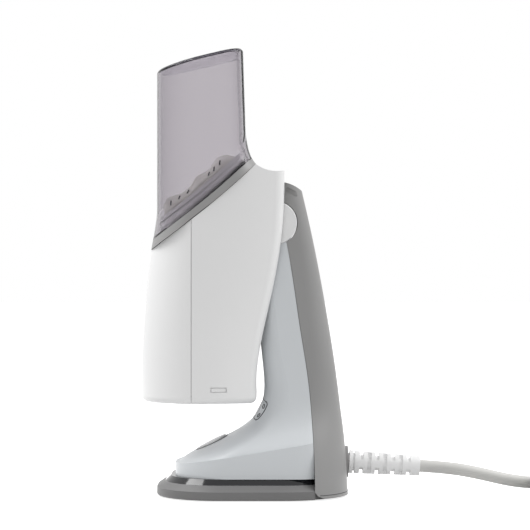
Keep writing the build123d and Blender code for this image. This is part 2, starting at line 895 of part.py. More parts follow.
with BuildPart() as thermostat:
    add(upright(thermostat_radius, chamber_top, chamber_top + thermostat_height, plate_x - thermostat_offset))
    add(upright(thermostat_radius / 2, chamber_top, chamber_top + 2 * thermostat_height,
                plate_x - thermostat_offset))
save(thermostat, "thermostat")

with BuildPart() as thermal_fuse:
    with BuildSketch(Plane.XZ):
        with Locations((plate_x, chamber_top + fuse_radius + bore_gap)):
            Circle(fuse_radius)
    extrude(amount=fuse_length / 2, both=True)
save(thermal_fuse, "thermal_fuse")

# Pump on its shelf, with the hose from the tank valve and the hose to the chamber
with BuildPart() as pump:
    add(upright(pump_radius, shelf_z, shelf_z + pump_height, pump_x))
    add(upright(pump_radius - pump_neck_step, shelf_z, shelf_z + pump_height + pump_neck_height, pump_x))
    add(upright(hose_radius + pump_spout_wall, shelf_z, shelf_z + pump_height + pump_spout, pump_x))
save(pump, "pump")

with BuildPart() as steam_hose:
    add(upright(hose_radius, chamber_top + nozzle_height, shelf_z, pump_x))
save(steam_hose, "steam_hose")

# Tank collar on the head: a ring and a web, with the socket of the valve in it
with BuildPart() as collar_well:
    add(tank_form(collar_width, 0))
    add(seat_region(collar_web), mode=Mode.INTERSECT)
with BuildPart() as tank_collar:
    add(tank_form(0, 0))
    add(seat_region(part_gap), mode=Mode.INTERSECT)
    add(seat_region(collar_height), mode=Mode.SUBTRACT)
    add(collar_well.part, mode=Mode.SUBTRACT)
    add(valve_disc(socket_radius + part_gap, -socket_depth, reach), mode=Mode.SUBTRACT)
save(tank_collar, "tank_collar")

with BuildPart() as valve_socket:
    add(valve_disc(socket_radius, -socket_depth, collar_web))
    add(valve_disc(spout_radius + spout_clear, -socket_depth + collar_web, reach), mode=Mode.SUBTRACT)
save(valve_socket, "valve_socket")

with BuildPart() as inlet_seal:
    add(valve_disc(socket_radius, collar_web + slide_gap, collar_web + slide_gap + seal_height))
    add(valve_disc(spout_radius + slide_gap, 0, reach), mode=Mode.SUBTRACT)
save(inlet_seal, "inlet_seal")

# Tank: shell, floor and strainer
tank_low = collar_height + slide_gap
with BuildPart() as tank_inside:
    add(tank_form(tank_wall, tank_wall))
with BuildPart() as tank_shell:
    add(tank_form(0, 0))
    fillet(tank_shell.faces().sort_by(Axis.Z)[-1].edges(), tank_edge_round)
    add(seat_region(tank_low), mode=Mode.INTERSECT)
    add(tank_inside.part, mode=Mode.SUBTRACT)
save(tank_shell, "tank_shell")

floor_top = tank_floor_height + tank_floor_thickness
with BuildPart() as tank_floor:
    add(tank_form(tank_wall + part_gap / 2, tank_wall))
    add(seat_region(tank_floor_height), mode=Mode.INTERSECT)
    add(seat_region(floor_top), mode=Mode.SUBTRACT)
    add(valve_disc(cap_thread_radius + bore_gap, 0, reach), mode=Mode.SUBTRACT)
save(tank_floor, "tank_floor")

strainer_low = floor_top + strainer_lift
with BuildPart() as tank_strainer:
    with BuildSketch(seat_plane.offset(strainer_low)):
        with Locations((strainer_x, 0)):
            RectangleRounded(strainer_length, strainer_width, strainer_round)
    extrude(amount=strainer_plate)
    for hump_x in (strainer_x - hump_offset, strainer_x + hump_offset):
        with BuildSketch(seat_plane.offset(strainer_low)):
            with Locations((hump_x, 0)):
                RectangleRounded(hump_length, hump_width, hump_round)
        extrude(amount=hump_height, taper=hump_taper)
    with BuildSketch(valve_plane.offset(strainer_low)):
        Circle(dome_radius)
    extrude(amount=dome_height, taper=dome_taper)
    add(valve_disc(cap_thread_radius + dome_clear, 0, strainer_low + dome_height - strainer_plate),
        mode=Mode.SUBTRACT)
    for hump_x in (strainer_x - hump_offset, strainer_x + hump_offset):
        with BuildSketch(seat_plane.offset(strainer_low + hump_height)):
            with Locations((hump_x, 0)):
                with GridLocations(slot_pitch, 1, slot_count, 1):
                    Rectangle(slot_width, 2 * hump_width)
        extrude(amount=-slot_depth, mode=Mode.SUBTRACT)
save(tank_strainer, "tank_strainer")

# Valve in the tank floor: quarter-turn cap, poppet and spring
flange_low = tank_floor_height - bore_gap - flange_height
with BuildPart() as valve_cap:
    add(valve_disc(flange_radius, flange_low, tank_floor_height - bore_gap))
    add(valve_disc(cap_thread_radius, flange_low, cap_top))
    add(valve_disc(spout_radius, spout_low, flange_low))
    add(valve_disc(spout_radius - spout_wall, spout_low, cap_top), mode=Mode.SUBTRACT)
    with BuildSketch(valve_plane.offset(guide_low)):
        Circle(spout_radius - spout_wall + bore_gap)
        Circle(stem_radius + bore_gap, mode=Mode.SUBTRACT)
        with PolarLocations((stem_radius + spout_radius - spout_wall) / 2, 3):
            Circle(guide_port, mode=Mode.SUBTRACT)
    extrude(amount=guide_height)
save(valve_cap, "valve_cap")

with BuildPart() as valve_poppet:
    add(valve_disc(poppet_radius, cap_top + part_gap, cap_top + part_gap + poppet_height))
    add(valve_disc(stem_radius, clip_low, cap_top + part_gap))
    add(valve_disc(stem_radius + spring_wire, clip_low, clip_low + clip_height))
save(valve_poppet, "valve_poppet")

# Hose from the valve socket to the pump
socket_end = valve_plane.from_local_coords((0, 0, -socket_depth))
hose_bend = valve_plane.from_local_coords((0, 0, -socket_depth - hose_lead))
pump_top = shelf_z + pump_height + pump_spout
with BuildPart() as water_hose:
    with BuildLine() as hose_path:
        FilletPolyline(socket_end, hose_bend, (pump_x, 0, pump_top + hose_lead), (pump_x, 0, pump_top),
                       radius=hose_lead / 2)
    with BuildSketch(Plane(origin=socket_end, z_dir=hose_path.line % 0)):
        Circle(hose_radius)
    sweep()
save(water_hose, "water_hose")

# Power button, and the switch under it on the control board
with BuildPart() as power_button:
    with BuildSketch(button_plane.offset(-flange_drop)):
        Circle(button_radius)
    extrude(amount=flange_drop + button_proud)
    with BuildSketch(button_plane.offset(-flange_drop)):
        Circle(button_radius + button_lip)
    extrude(amount=-button_lip)
    with BuildSketch(button_plane.offset(-flange_drop - button_lip)):
        Circle(stem_size)
    extrude(amount=-stem_length)
save(power_button, "power_button")

# Control board on spacers over the ballast, a wedge on it and the switch under the button
board_z = tray_floor + ballast_thickness + spacer_height
with BuildPart() as board_spacers:
    with BuildSketch(Plane.XY.offset(tray_floor + ballast_thickness)):
        with Locations((board_x, 0)):
            with GridLocations(board_length - 2 * spacer_inset, board_width - 2 * spacer_inset, 2, 2):
                Circle(spacer_radius)
    extrude(amount=spacer_height)
save(board_spacers, "board_spacers")

with BuildPart() as control_board:
    with BuildSketch(Plane.XY.offset(board_z)):
        with Locations((board_x, 0)):
            RectangleRounded(board_length, board_width, board_round)
    extrude(amount=board_thickness)
    with BuildSketch(Plane.XY.offset(board_z + board_thickness)):
        with Locations((board_x + block_offset, block_y)):
            Rectangle(block_length, block_width)
        with Locations((board_x + block_offset, can_y)):
            Circle(can_radius)
    extrude(amount=block_height)
save(control_board, "control_board")

holder_depth = flange_drop + button_lip + stem_length + button_travel + switch_gap + switch_height
holder_middle = button_plane.from_local_coords((0, 0, -holder_depth))
holder_half = holder_length / 2
holder_rise = holder_half * tan(radians(button_tilt))
board_top = board_z + board_thickness
holder_front = holder_middle.X - holder_half
holder_rear = holder_middle.X + holder_half
holder_outline = [(holder_front, board_top), (holder_rear, board_top),
                  (holder_rear, holder_middle.Z + holder_rise), (holder_front, holder_middle.Z - holder_rise)]
with BuildPart() as switch_holder:
    add(side_extrusion(switch_size / 2, *holder_outline))
save(switch_holder, "switch_holder")

with BuildPart() as button_switch:
    with BuildSketch(button_plane.offset(-holder_depth)):
        RectangleRounded(switch_size, switch_size, switch_round)
    extrude(amount=switch_height)
save(button_switch, "button_switch")


def biarc(start, start_way, end, end_way):
    """Two arcs that leave one point and reach another along the given directions."""
    span = end - start
    both = start_way + end_way
    turn = 2 * (1 - start_way.dot(end_way))
    run = ((span.dot(both) ** 2 + turn * span.dot(span)) ** 0.5 - span.dot(both)) / turn
    first = start + start_way * run
    last = end - end_way * run
    middle = (first + last) / 2
    TangentArc(start, middle, tangent=start_way)
    TangentArc(middle, end, tangent=last - first)


def spring_points(plane, radius, low, high, turns):
    """Points and directions of a helix, one each half turn."""
    stations = []
    for step in range(2 * turns + 1):
        angle = pi * step
        rise = (high - low) / (2 * pi * turns)
        place = Vector(radius * cos(angle), radius * sin(angle), low + rise * angle)
        way = Vector(-radius * sin(angle), radius * cos(angle), rise)
        stations.append((plane.from_local_coords(place), plane.from_local_coords(way) - plane.origin))
    return stations


# Springs of the button and of the valve
spring_low = -flange_drop - button_lip - part_gap
spring_seat = switch_height - holder_depth
with BuildPart() as button_spring:
    with BuildLine() as spring_path:
        stations = spring_points(button_plane, button_spring_radius, spring_seat + spring_wire,
                                 spring_low - spring_wire, button_spring_turns)
        for (start, start_way), (end, end_way) in zip(stations, stations[1:]):
            biarc(start, start_way.normalized(), end, end_way.normalized())
    with BuildSketch(Plane(origin=stations[0][0], z_dir=stations[0][1])):
        Circle(spring_wire / 2)
    sweep()
save(button_spring, "button_spring")

with BuildPart() as valve_spring:
    with BuildLine() as valve_spring_path:
        stations = spring_points(valve_plane, valve_spring_radius, clip_low + clip_height + spring_wire,
                                 guide_low - spring_wire, valve_spring_turns)
        for (start, start_way), (end, end_way) in zip(stations, stations[1:]):
            biarc(start, start_way.normalized(), end, end_way.normalized())
    with BuildSketch(Plane(origin=stations[0][0], z_dir=stations[0][1])):
        Circle(spring_wire / 2)
    sweep()
save(valve_spring, "valve_spring")

# Indicator panel
with BuildPart() as indicator_panel:
    with BuildSketch(panel_plane.offset(-panel_depth)):
        RectangleRounded(panel_width, panel_length, panel_round)
    extrude(amount=panel_depth + panel_proud)
save(indicator_panel, "indicator_panel")

# Strain relief: a tapered sleeve with a groove at its root and slots that alternate round it
relief_plane = Plane(origin=(boss_x, 0, cord_exit_z), x_dir=(0, 1, 0),
                     z_dir=(cos(radians(relief_droop)), 0, -sin(radians(relief_droop))))
relief_start = part_gap + relief_root_radius * tan(radians(relief_droop))
with BuildPart() as strain_relief:
    with BuildSketch(relief_plane.offset(relief_start)):
        Circle(relief_root_radius)
    with BuildSketch(relief_plane.offset(relief_length)):
        Circle(relief_tip_radius)
    loft()
    with BuildSketch(Plane.YZ.offset(boss_x - boss_length)):
        with Locations((0, cord_exit_z)):
            Circle(relief_neck_radius)
    extrude(amount=boss_length + 2 * relief_start)
    with BuildSketch(relief_plane.offset(relief_groove)):
        Circle(2 * relief_root_radius)
        Circle(relief_groove_radius, mode=Mode.SUBTRACT)
    extrude(amount=relief_slot_width / 2, mode=Mode.SUBTRACT)
    for slot in range(relief_slots):
        bridge = (4 * relief_root_radius, relief_bridge)
        with BuildSketch(relief_plane.offset(relief_first_slot + slot * relief_pitch)):
            Circle(2 * relief_root_radius)
            Circle(relief_core_radius, mode=Mode.SUBTRACT)
            Rectangle(*(bridge if slot % 2 == 0 else bridge[::-1]), mode=Mode.SUBTRACT)
        extrude(amount=relief_slot_width, mode=Mode.SUBTRACT)
save(strain_relief, "strain_relief")

# Clamp on the lead inside the rear shell
with BuildPart() as cord_clamp:
    with BuildSketch(Plane.YZ.offset(boss_x - boss_length - clamp_length - part_gap)):
        with Locations((0, cord_exit_z)):
            RectangleRounded(clamp_width, clamp_height, clamp_round)
    extrude(amount=clamp_length)
save(cord_clamp, "cord_clamp")

# Mains lead: the stretch that lies free, then a coil for the rest, put away under a tie
cord_tip = relief_plane.from_local_coords((0, 0, relief_length))
cord_first = relief_plane.from_local_coords((0, 0, relief_length + cord_lead))
coil_middle = Vector(coil_x, coil_y, 0)
coil_outer = coil_inner + coil_pitch * coil_turns_in
entry_out = Vector(cos(radians(coil_entry)), sin(radians(coil_entry)), 0)
entry_way = Vector(entry_out.Y, -entry_out.X, 0)
coil_start = coil_middle + entry_out * coil_outer + Vector(0, 0, coil_z)
cord_route = [cord_tip, cord_first, Vector(141, 0.5, 12.0), Vector(158, 4.4, 7.6),
              coil_start - entry_way * (2 * cord_radius + coil_approach),
              coil_start - entry_way * 2 * cord_radius]


def route_radii(points):
    """The largest arc that each corner of a route has room for."""
    radii = []
    for before, corner, after in zip(points, points[1:], points[2:]):
        half_turn = radians((corner - before).get_angle(after - corner)) / 2
        shorter = min((corner - before).length, (after - corner).length)
        radii.append(0.45 * shorter / tan(half_turn))
    return radii


cord_radii = route_radii(cord_route)
with BuildPart() as power_cord:
    with BuildLine() as cord_line:
        FilletPolyline(*cord_route, radius=cord_radii)
    with BuildSketch(Plane(origin=cord_route[0], z_dir=cord_line.line % 0)):
        Circle(cord_radius)
    sweep()
save(power_cord, "power_cord")
free_length = cord_line.wires()[0].length
print("cord radii", [round(radius) for radius in cord_radii])
print("cord volume over section times length", power_cord.part.volume / (pi * cord_radius ** 2 * free_length))


def coil_station(turn):
    """Place and direction on the coil, counted in turns from where the spiral reverses."""
    angle = radians(coil_entry) - 2 * pi * (turn + coil_turns_in)
    radius = coil_inner + coil_pitch * abs(turn)
    climb = min(max(2 * turn + 0.5, 0), 1)
    height = coil_z + coil_layer * climb
    grow = coil_pitch * (1 if turn > 0 else -1)
    out = Vector(cos(angle), sin(angle), 0)
    round_way = Vector(sin(angle), -cos(angle), 0)
    return coil_middle + out * radius + Vector(0, 0, height), out * grow + round_way * (2 * pi * radius)


half_turns = [step / 2 + 0.25 for step in range(ceil(-2 * coil_turns_in), ceil(2 * coil_turns_out))]
coil_marks = [-coil_turns_in] + [turn for turn in half_turns if -coil_turns_in < turn < coil_turns_out]
coil_marks.append(coil_turns_out)
coil_steps = len(coil_marks) - 1
coil_stations = [coil_station(turn) for turn in coil_marks]
coil_ways = [way.normalized() for place, way in coil_stations]
coil_places = [place for place, way in coil_stations]
coil_ways[0] = entry_way
tail_end = coil_places[-1] + coil_ways[-1] * tail_length
with BuildPart() as cord_coil:
    with BuildLine() as coil_line:
        Line(cord_route[-1], coil_places[0])
        for k in range(coil_steps):
            biarc(coil_places[k], coil_ways[k], coil_places[k + 1], coil_ways[k + 1])
        Line(coil_places[-1], tail_end)
    with BuildSketch(Plane(origin=cord_route[-1], z_dir=coil_ways[0])):
        Circle(cord_radius)
    sweep()
save(cord_coil, "cord_coil")
coil_wire = coil_line.wires()[0]
coil_length = coil_wire.length
print("cord length", free_length + coil_length)
print("coil volume over section times length", cord_coil.part.volume / (pi * cord_radius ** 2 * coil_length))


def least_gap(line, length, diameter):
    """Least distance between turns of a wound line, less its diameter."""
    count = int(length / 4)
    points = [line @ (k / count) for k in range(count + 1)]
    apart = int(5 * diameter / 4)
    return min((a - b).length for k, a in enumerate(points) for b in points[k + apart:]) - diameter


print("least gap of the coil to itself", least_gap(coil_wire, coil_length, 2 * cord_radius))

# Tie round the bundle of turns, on the side away from the lead
bundle_low = coil_inner - cord_radius - tie_gap
bundle_high = coil_outer + cord_radius + tie_gap
bundle_top = coil_z + coil_layer + cord_radius + tie_gap
bundle_bottom = coil_z - cord_radius - tie_gap
bundle_width = bundle_high - bundle_low
bundle_height = bundle_top - bundle_bottom
tie_plane = Plane(origin=coil_middle, x_dir=(cos(radians(tie_angle)), sin(radians(tie_angle)), 0),
                  z_dir=(sin(radians(tie_angle)), -cos(radians(tie_angle)), 0))
with BuildPart() as cord_tie:
    with BuildSketch(tie_plane):
        with Locations(((bundle_low + bundle_high) / 2, (bundle_top + bundle_bottom) / 2)):
            RectangleRounded(bundle_width + 2 * tie_thickness, bundle_height + 2 * tie_thickness, cord_radius)
            RectangleRounded(bundle_width, bundle_height, cord_radius - tie_thickness, mode=Mode.SUBTRACT)
    extrude(amount=tie_width / 2, both=True)
save(cord_tie, "cord_tie")

# Three-pin plug at the end of the lead
plug_plane = Plane(origin=tail_end, x_dir=coil_ways[-1].cross(Vector(0, 0, 1)), z_dir=coil_ways[-1])
plug_half = coil_z + coil_layer
with BuildPart() as plug_body:
    with BuildSketch(plug_plane):
        Circle(cord_radius + plug_relief_wall)
    with BuildSketch(plug_plane.offset(plug_relief)):
        Circle(cord_radius + plug_relief_wall + plug_relief_step)
    loft()
    with BuildSketch(plug_plane.offset(plug_relief)):
        RectangleRounded(plug_width - 2 * plug_taper, 2 * (plug_half - plug_taper), plug_round)
    with BuildSketch(plug_plane.offset(plug_relief + plug_length)):
        RectangleRounded(plug_width, 2 * plug_half, plug_round)
    loft()
save(plug_body, "plug_body")

with BuildPart() as plug_pins:
    with BuildSketch(plug_plane.offset(plug_relief + plug_length)):
        with Locations((-blade_spread, blade_rise), (blade_spread, blade_rise)):
            Rectangle(blade_thickness, blade_width)
        with Locations((0, -earth_drop)):
            Circle(earth_radius)
    extrude(amount=pin_length)
save(plug_pins, "plug_pins")
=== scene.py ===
"""Looks of the garment steamer: its finishes, the small pieces on it, the lead, the studio and the camera."""
import json
import math

import bmesh
import bpy
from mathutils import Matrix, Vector
from mathutils.bvhtree import BVHTree


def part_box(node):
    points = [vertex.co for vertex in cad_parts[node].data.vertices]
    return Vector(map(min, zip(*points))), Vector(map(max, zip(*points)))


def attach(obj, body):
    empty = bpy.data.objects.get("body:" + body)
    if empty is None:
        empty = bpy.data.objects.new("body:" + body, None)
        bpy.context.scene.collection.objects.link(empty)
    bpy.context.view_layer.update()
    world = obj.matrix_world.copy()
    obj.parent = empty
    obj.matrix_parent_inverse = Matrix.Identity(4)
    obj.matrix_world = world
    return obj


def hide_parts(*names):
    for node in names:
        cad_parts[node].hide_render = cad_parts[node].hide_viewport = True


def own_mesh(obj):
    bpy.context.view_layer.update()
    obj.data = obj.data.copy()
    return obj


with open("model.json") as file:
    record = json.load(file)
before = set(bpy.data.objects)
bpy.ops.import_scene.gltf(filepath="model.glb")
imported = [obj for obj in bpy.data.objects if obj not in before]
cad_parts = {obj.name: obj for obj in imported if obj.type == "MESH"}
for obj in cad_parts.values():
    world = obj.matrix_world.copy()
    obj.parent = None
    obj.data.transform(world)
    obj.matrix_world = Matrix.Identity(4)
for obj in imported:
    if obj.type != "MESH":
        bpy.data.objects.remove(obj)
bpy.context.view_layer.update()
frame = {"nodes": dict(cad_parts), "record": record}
nodes = frame["nodes"]
scene = bpy.context.scene
scene.view_settings.view_transform = "Standard"

MM = 0.001
MICRON = 0.000001
FULL_TURN = 2 * math.pi
QUARTER_TURN = math.pi / 2
ACROSS = Vector((0, 1, 0))

# Camera, in metres: level, square to the side of the steamer
CAMERA_X = 0.012
CAMERA_Z = 0.137
CAMERA_DISTANCE = 1.2
VIEW_WIDTH = 0.318
SENSOR = 36.0

# Studio, in metres: the lamps have a place and watts
FLOOR_HALF = 6.0
FLOOR_COLOUR = (0.62, 0.62, 0.62)
FLOOR_ROUGHNESS = 0.9
FLOOR_SPECULAR = 0.1
FLOOR_GLOW = 0.82
WORLD_LIGHT = 0.6
LAMPS = {"left": ((-0.8, 0.1, 1.2), 12.9), "right": ((0.85, 0.0, 1.1), 9.8)}
LAMP_TARGET = Vector((0.0, 0.0, 0.13))
LAMP_SIZE = 0.7

# Lead, in metres: its free stretch, then a coil that winds inwards on the floor and outwards on top of that
CORD_DIAMETER = 0.0074
CORD_ROUTE = [
    (0.10462, 0.0, 0.016575),
    (0.12259, 0.0, 0.015476),
    (0.141, 0.0005, 0.012),
    (0.158, 0.0044, 0.0076),
    (0.173463, 0.013128, 0.0049),
    (0.184187, 0.022127, 0.0049),
]
COIL_MIDDLE = (0.225, -0.015)
COIL_ENTRY = math.radians(130)
COIL_Z = 0.0049
COIL_INNER = 0.0277
COIL_PITCH = 0.0083
COIL_LAYER = 0.0081
COIL_TURNS_IN = 3.25
COIL_TURNS_OUT = 2.861
COIL_CLIMB_TURNS = 0.5
COIL_POINTS_PER_TURN = 24
TAIL_LENGTH = 0.044
TIE_EDGE = 0.3 * MM

# Seat of the tank: its middle, the way along it and its normal
SEAT_MIDDLE = Vector((-0.02341, 0.0, 0.16947))
SEAT_ALONG = Vector((0.77954, 0.0, 0.62635))
SEAT_NORMAL = Vector((-0.62635, 0.0, 0.77954))

# Tank: the front of its top in metres and the slope from there, then what counts as top, which gets painted
# shade, and how far it moves
TANK_TOP_FRONT = Vector((-0.0516, 0.0, 0.2538))
TANK_TOP_SLOPE = 0.285
TANK_TOP_DEPTH = 3.4 * MM
TANK_TOP_FACING = 0.3
TANK_STILL_SHARE = 0.5
TANK_DROP_FRONT = 1.8 * MM
TANK_DROP_REAR = 3.0 * MM
TANK_REAR_OUT = 1.6 * MM

# Skirt under the tank floor and the dark line of painted shade on the seat
SKIRT_INSET = 0.3 * MM
SKIRT_WALL = 1.0 * MM
SKIRT_HEIGHT = 5.8 * MM
SEAT_LINE_INSET = 0.35 * MM
SEAT_LINE_DROP = 0.17 * MM
SEAT_LINE_RADIUS = 0.16 * MM

# Strainer, in mm along, across and over the seat: each wave has a middle, a width and a height
STRAINER_START = -22.0
STRAINER_END = 35.0
STRAINER_BASE = 12.2
STRAINER_CREST = 16.6
STRAINER_HALF = 20.0
STRAINER_WAVES = ((-12.0, 5.5, 2.9), (9.0, 5.0, 2.6), (25.0, 7.5, 3.4))
STRAINER_FRONT_RISE = 5.0
STRAINER_REAR_RISE = 6.0
STRAINER_FRONT_ROUND = 16.0
STRAINER_LEAST_SHARE = 0.02
STRAINER_SQUARENESS = 5
STRAINER_VALVE = 3.0
STRAINER_HOLE = 6.4
STRAINER_SHEET = 0.6
STRAINER_ROWS = 58
STRAINER_COLUMNS = 24

# Slots of the strainer, drawn as dark lines of painted shade: places along it in mm, place across as a share
# of its half width, and their slant
SLOT_PLACES = (-13.0, -7.2, -1.1, 15.0, 19.2, 24.2)
SLOT_SIDE = 0.86
SLOT_SLANT = 0.012
SLOT_STEP = 0.25
SLOT_HALF_STEPS = 4
SLOT_RADIUS = 0.45 * MM

# Button and panel on the foot, in metres
BUTTON_MIDDLE = Vector((-0.0198, 0.0, 0.0309))
BUTTON_NORMAL = Vector((-0.44776, 0.0, 0.89415))
BUTTON_RIM = 0.0102
BUTTON_RIM_STEPS = 72
BUTTON_RIM_RADIUS = 0.3 * MM
PANEL_MIDDLE = Vector((0.0086, 0.0, 0.0512))
PANEL_NORMAL = Vector((-0.88295, 0.0, 0.46947))
PANEL_HALF_WIDTH = 0.0178
PANEL_HALF_LENGTH = 0.0062
PANEL_CORNER = 0.002
PANEL_CORNER_STEPS = 6
PANEL_RUN_STEPS = 6
PANEL_LINE_RADIUS = 0.32 * MM
RING_ACROSS = 0.0148
RING_ALONG = 0.003
RING_RADIUS = 0.0012
RING_STEPS = 20
FOOT_RAY = 0.02

# Line of painted shade under the tongue, in metres: found from all round the heel, by steps in degrees
HEEL = Vector((0.045, 0.0, 0.0032))
TONGUE_RAY = 0.1
TONGUE_STEP = 2.4
TONGUE_HALF_STEPS = 48
TONGUE_LINE_RADIUS = 0.2 * MM

# Snap recess on the sides of the head, in mm: its tab has a bottom and a top
SNAP_X = -15.1
SNAP_Z = 64.0
SNAP_HALF_LENGTH = 4.2
SNAP_HALF_HEIGHT = 1.0
SNAP_CORNER = 0.5
SNAP_CORNER_STEPS = 4
SNAP_LIFTS = (0.02, 0.65)
SNAP_RAY = 80.0

# Rounded lines: how fine their section is
LINE_SECTION = 2
LEAD_SECTION = 6
LEAD_STEPS = 6

# Edges of flat faces: points closer than this are one, and a face looks one way from this cosine on
SAME_POINT = 0.000001
SAME_WAY = 0.9

# Noise: nearly all of it lies between these values
NOISE_LOW = 0.3
NOISE_HIGH = 0.7


# Node helpers

def new_material(name):
    """An empty principled material, with its tree and its shader."""
    material = bpy.data.materials.new(name)
    material.use_nodes = True
    tree = material.node_tree
    return material, tree, tree.nodes["Principled BSDF"]


def noise(tree, scale, detail):
    """Noise over the object's own coordinates, in features per metre."""
    place = tree.nodes.new("ShaderNodeTexCoord")
    texture = tree.nodes.new("ShaderNodeTexNoise")
    texture.inputs["Scale"].default_value = scale
    texture.inputs["Detail"].default_value = detail
    tree.links.new(place.outputs["Object"], texture.inputs["Vector"])
    return texture.outputs["Fac"]


def spread(tree, factor, low, high):
    """A factor mapped onto a range of values."""
    node = tree.nodes.new("ShaderNodeMapRange")
    node.inputs["From Min"].default_value = NOISE_LOW
    node.inputs["From Max"].default_value = NOISE_HIGH
    node.inputs["To Min"].default_value = low
    node.inputs["To Max"].default_value = high
    tree.links.new(factor, node.inputs["Value"])
    return node.outputs["Result"]


def tint(tree, factor, dark, light):
    """A factor mapped onto a run of colour."""
    ramp = tree.nodes.new("ShaderNodeValToRGB")
    low, high = ramp.color_ramp.elements
    low.position = NOISE_LOW
    low.color = (*dark, 1)
    high.position = NOISE_HIGH
    high.color = (*light, 1)
    tree.links.new(factor, ramp.inputs["Fac"])
    return ramp.outputs["Color"]


def bump(tree, shader, height, depth):
    """Surface relief of a depth in metres."""
    node = tree.nodes.new("ShaderNodeBump")
    node.inputs["Distance"].default_value = depth
    tree.links.new(height, node.inputs["Height"])
    tree.links.new(node.outputs["Normal"], shader.inputs["Normal"])


def shade(colour, factor):
    """A colour made lighter or darker."""
    return tuple(min(1.0, channel * factor) for channel in colour)


# Finishes

FLOW_SCALE = 22.0
FLOW_DETAIL = 2.0
GLOSS_SCALE = 35.0
GLOSS_DETAIL = 1.0
GLOSS_VARIATION = 0.05
GRAIN_DETAIL = 2.0
RUBBER_GRAIN = 3800.0
RUBBER_DEPTH = 20 * MICRON
RUBBER_VARIATION = 0.05
RUBBER_SHEEN = 0.15
METAL_DETAIL = 4.0
METAL_SHADES = (0.9, 1.06)
METAL_GLOSS = (0.8, 1.25)
METAL_DEPTH = 20 * MICRON
CLEAR_IOR = 1.2
CLEAR_SMOKE = (0.32, 0.3, 0.34)
CLEAR_GLOSS_SCALE = 60.0
CLEAR_GLOSS_DETAIL = 3.0
CLEAR_ROUGHNESS = (0.01, 0.04)
CLEAR_WAVE_SCALE = 30.0
CLEAR_WAVE_DETAIL = 0.0
CLEAR_WAVE_DEPTH = 30 * MICRON
THREAD_SCALE = 420.0
THREAD_DISTORTION = 1.5
THREAD_SHADES = (0.5, 1.3)
THREAD_ROUGHNESS = 0.9
THREAD_SHEEN = 0.4
THREAD_DEPTH = 200 * MICRON


def moulded(name, colour, roughness, variation, grain=0.0, depth=0.0, specular=0.5):
    """Moulded plastic: slight flow marks in the colour, uneven gloss and, with a depth, a fine grain."""
    material, tree, shader = new_material(name)
    flow = noise(tree, FLOW_SCALE, FLOW_DETAIL)
    colours = tint(tree, flow, shade(colour, 1 - variation), shade(colour, 1 + variation))
    tree.links.new(colours, shader.inputs["Base Color"])
    uneven = noise(tree, GLOSS_SCALE, GLOSS_DETAIL)
    gloss = spread(tree, uneven, roughness * (1 - GLOSS_VARIATION), roughness * (1 + GLOSS_VARIATION))
    tree.links.new(gloss, shader.inputs["Roughness"])
    if depth:
        bump(tree, shader, noise(tree, grain, GRAIN_DETAIL), depth)
    shader.inputs["Specular IOR Level"].default_value = specular
    return material


def metal(name, colour, roughness, grain):
    """Drawn or plated metal with fine marks."""
    material, tree, shader = new_material(name)
    shader.inputs["Metallic"].default_value = 1.0
    marks = noise(tree, grain, METAL_DETAIL)
    colours = tint(tree, marks, *(shade(colour, factor) for factor in METAL_SHADES))
    tree.links.new(colours, shader.inputs["Base Color"])
    gloss = spread(tree, marks, *(roughness * factor for factor in METAL_GLOSS))
    tree.links.new(gloss, shader.inputs["Roughness"])
    bump(tree, shader, marks, METAL_DEPTH)
    return material


def smoky_clear(name, colour, density):
    """Clear tinted plastic, darker where it is seen edge on, with a slightly uneven moulded surface."""
    material, tree, shader = new_material(name)
    shader.inputs["Base Color"].default_value = (*colour, 1)
    shader.inputs["Transmission Weight"].default_value = 1.0
    shader.inputs["IOR"].default_value = CLEAR_IOR
    gloss = spread(tree, noise(tree, CLEAR_GLOSS_SCALE, CLEAR_GLOSS_DETAIL), *CLEAR_ROUGHNESS)
    tree.links.new(gloss, shader.inputs["Roughness"])
    bump(tree, shader, noise(tree, CLEAR_WAVE_SCALE, CLEAR_WAVE_DETAIL), CLEAR_WAVE_DEPTH)
    inside = tree.nodes.new("ShaderNodeVolumeAbsorption")
    inside.inputs["Color"].default_value = (*CLEAR_SMOKE, 1)
    inside.inputs["Density"].default_value = density
    tree.links.new(inside.outputs["Volume"], tree.nodes["Material Output"].inputs["Volume"])
    return material


def rubber(name, colour, roughness):
    """Soft rubber or flexible sheath, with a dull fine grain."""
    material = moulded(name, colour, roughness, RUBBER_VARIATION, RUBBER_GRAIN, RUBBER_DEPTH)
    material.node_tree.nodes["Principled BSDF"].inputs["Sheen Weight"].default_value = RUBBER_SHEEN
    return material


def tape(name, colour):
    """Woven tape: two crossed waves of thread."""
    material, tree, shader = new_material(name)
    place = tree.nodes.new("ShaderNodeTexCoord")
    weave = tree.nodes.new("ShaderNodeMath")
    weave.operation = "MULTIPLY"
    for k, direction in enumerate(("X", "Z")):
        wave = tree.nodes.new("ShaderNodeTexWave")
        wave.bands_direction = direction
        wave.inputs["Scale"].default_value = THREAD_SCALE
        wave.inputs["Distortion"].default_value = THREAD_DISTORTION
        tree.links.new(place.outputs["Object"], wave.inputs["Vector"])
        tree.links.new(wave.outputs["Fac"], weave.inputs[k])
    height = weave.outputs["Value"]
    colours = tint(tree, height, *(shade(colour, factor) for factor in THREAD_SHADES))
    tree.links.new(colours, shader.inputs["Base Color"])
    shader.inputs["Roughness"].default_value = THREAD_ROUGHNESS
    shader.inputs["Sheen Weight"].default_value = THREAD_SHEEN
    bump(tree, shader, height, THREAD_DEPTH)
    return material


WHITE = (0.81, 0.81, 0.81)
# The white shell's colour made darker and bluer: painted shade on the front shell, which stands back under
# the head
SHADED_WHITE = (0.635, 0.66, 0.68)
# A whiter white: painted light on the button, which the head shades from the lamps above; the strain relief
# has it too
BRIGHT_WHITE_PAINTED_LIGHT = (0.9, 0.9, 0.9)
GREY = (0.283, 0.281, 0.279)
# The grey satin made darker: painted shade on the base plate, low under the steamer
SHADED_GREY = (0.151, 0.15, 0.15)

